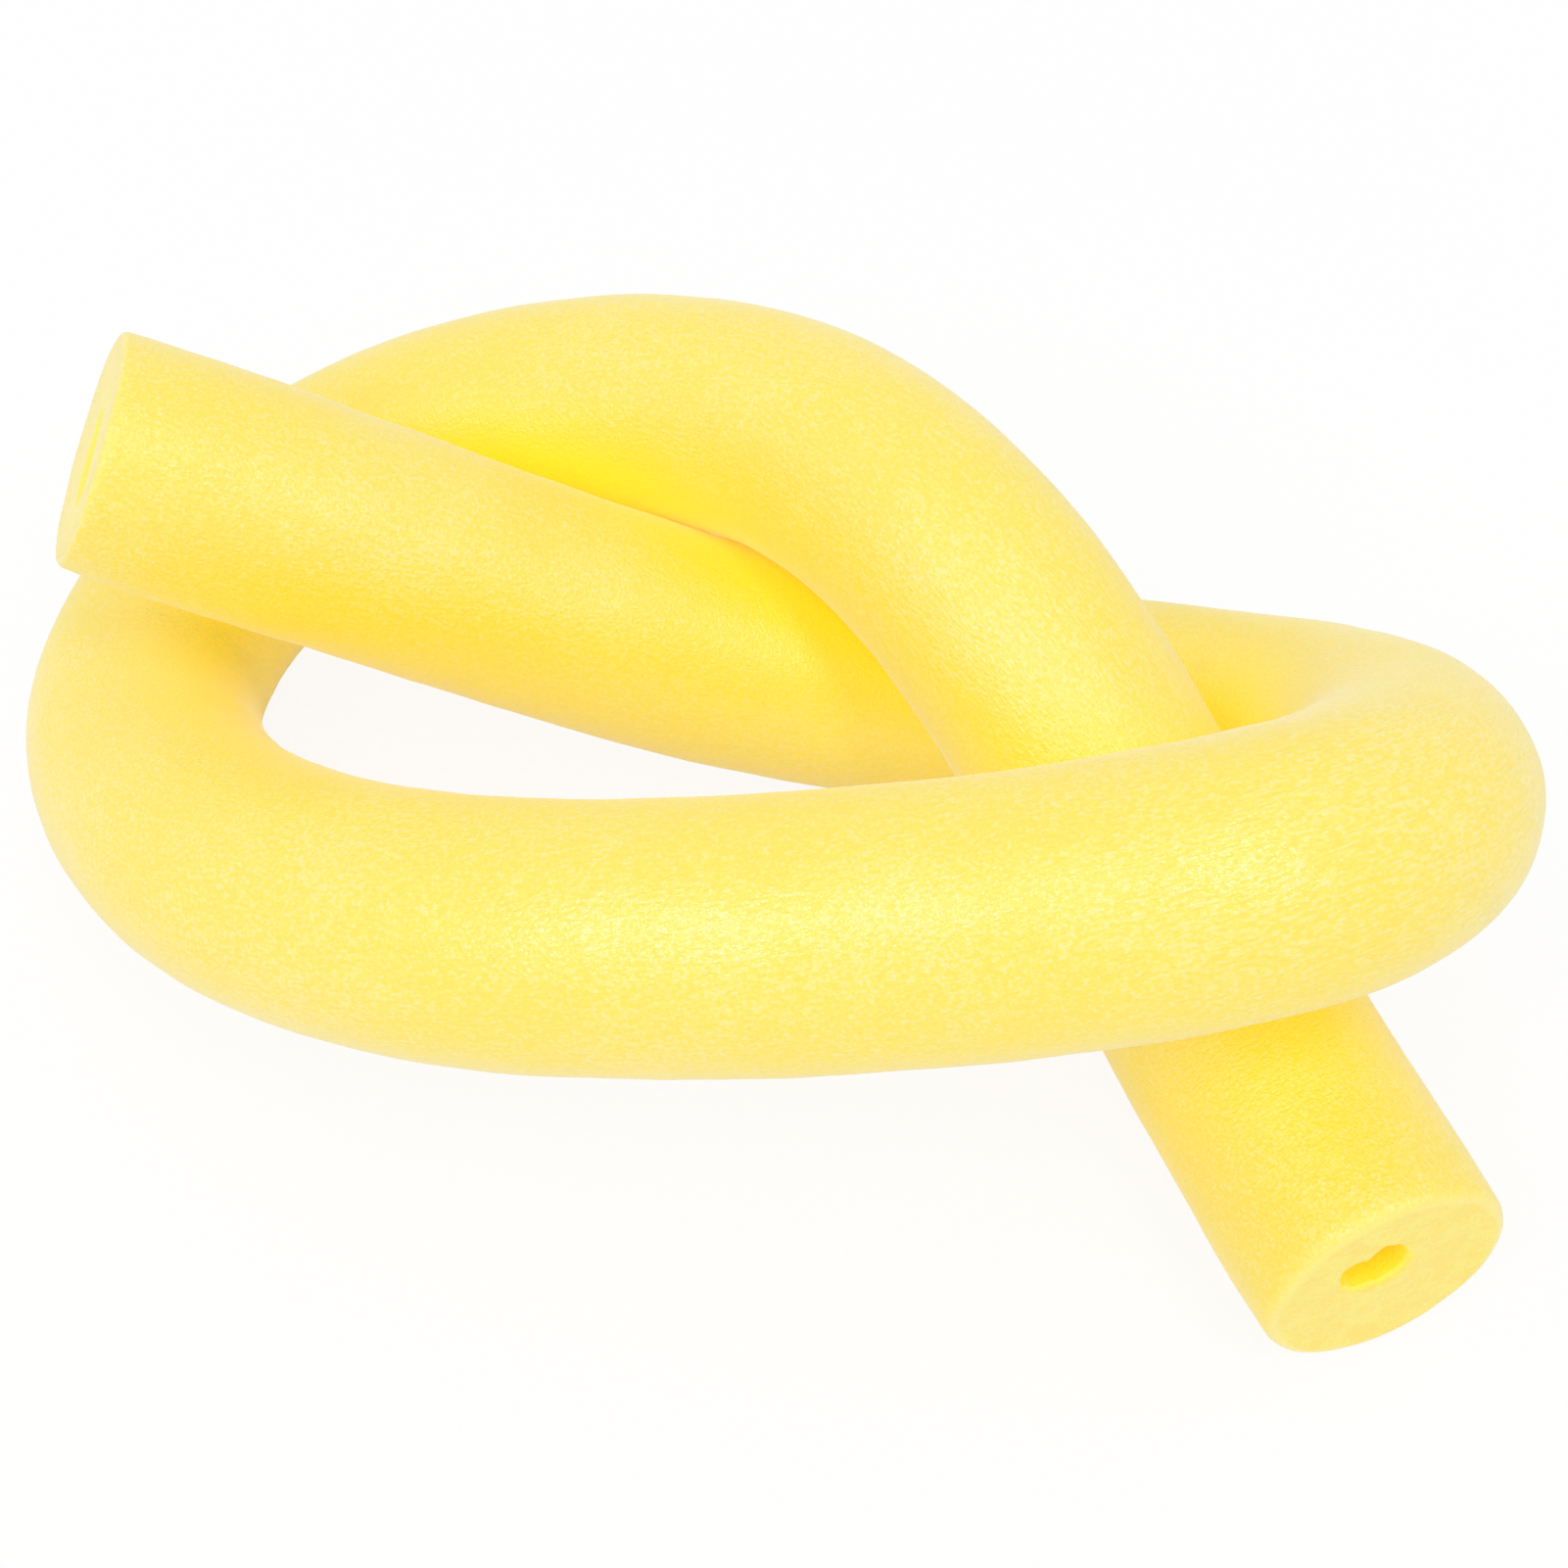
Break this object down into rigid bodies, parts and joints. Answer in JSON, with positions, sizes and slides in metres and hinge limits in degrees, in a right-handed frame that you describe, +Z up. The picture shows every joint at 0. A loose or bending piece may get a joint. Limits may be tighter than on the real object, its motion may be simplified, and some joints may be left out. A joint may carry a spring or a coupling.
{
  "type": "pool noodle",
  "caption": "Soft foam pool noodle: a round tube with a bore through its length, tied in a loose overhand knot and resting on the floor.",
  "frame": {"origin": "on the floor, under the middle of the knot's bounding box", "axes": "+X to the right as pictured, from the raised end towards the end on the floor; +Y away from the viewer; +Z up"},
  "size_m": [0.4389, 0.3245, 0.172],
  "materials": {
    "yellow_foam": "matt closed-cell foam with fine cells, paler at the cut ends"
  },
  "bodies": {
    "root": {"foam_noodle": "yellow_foam"}
  },
  "joints": []
}
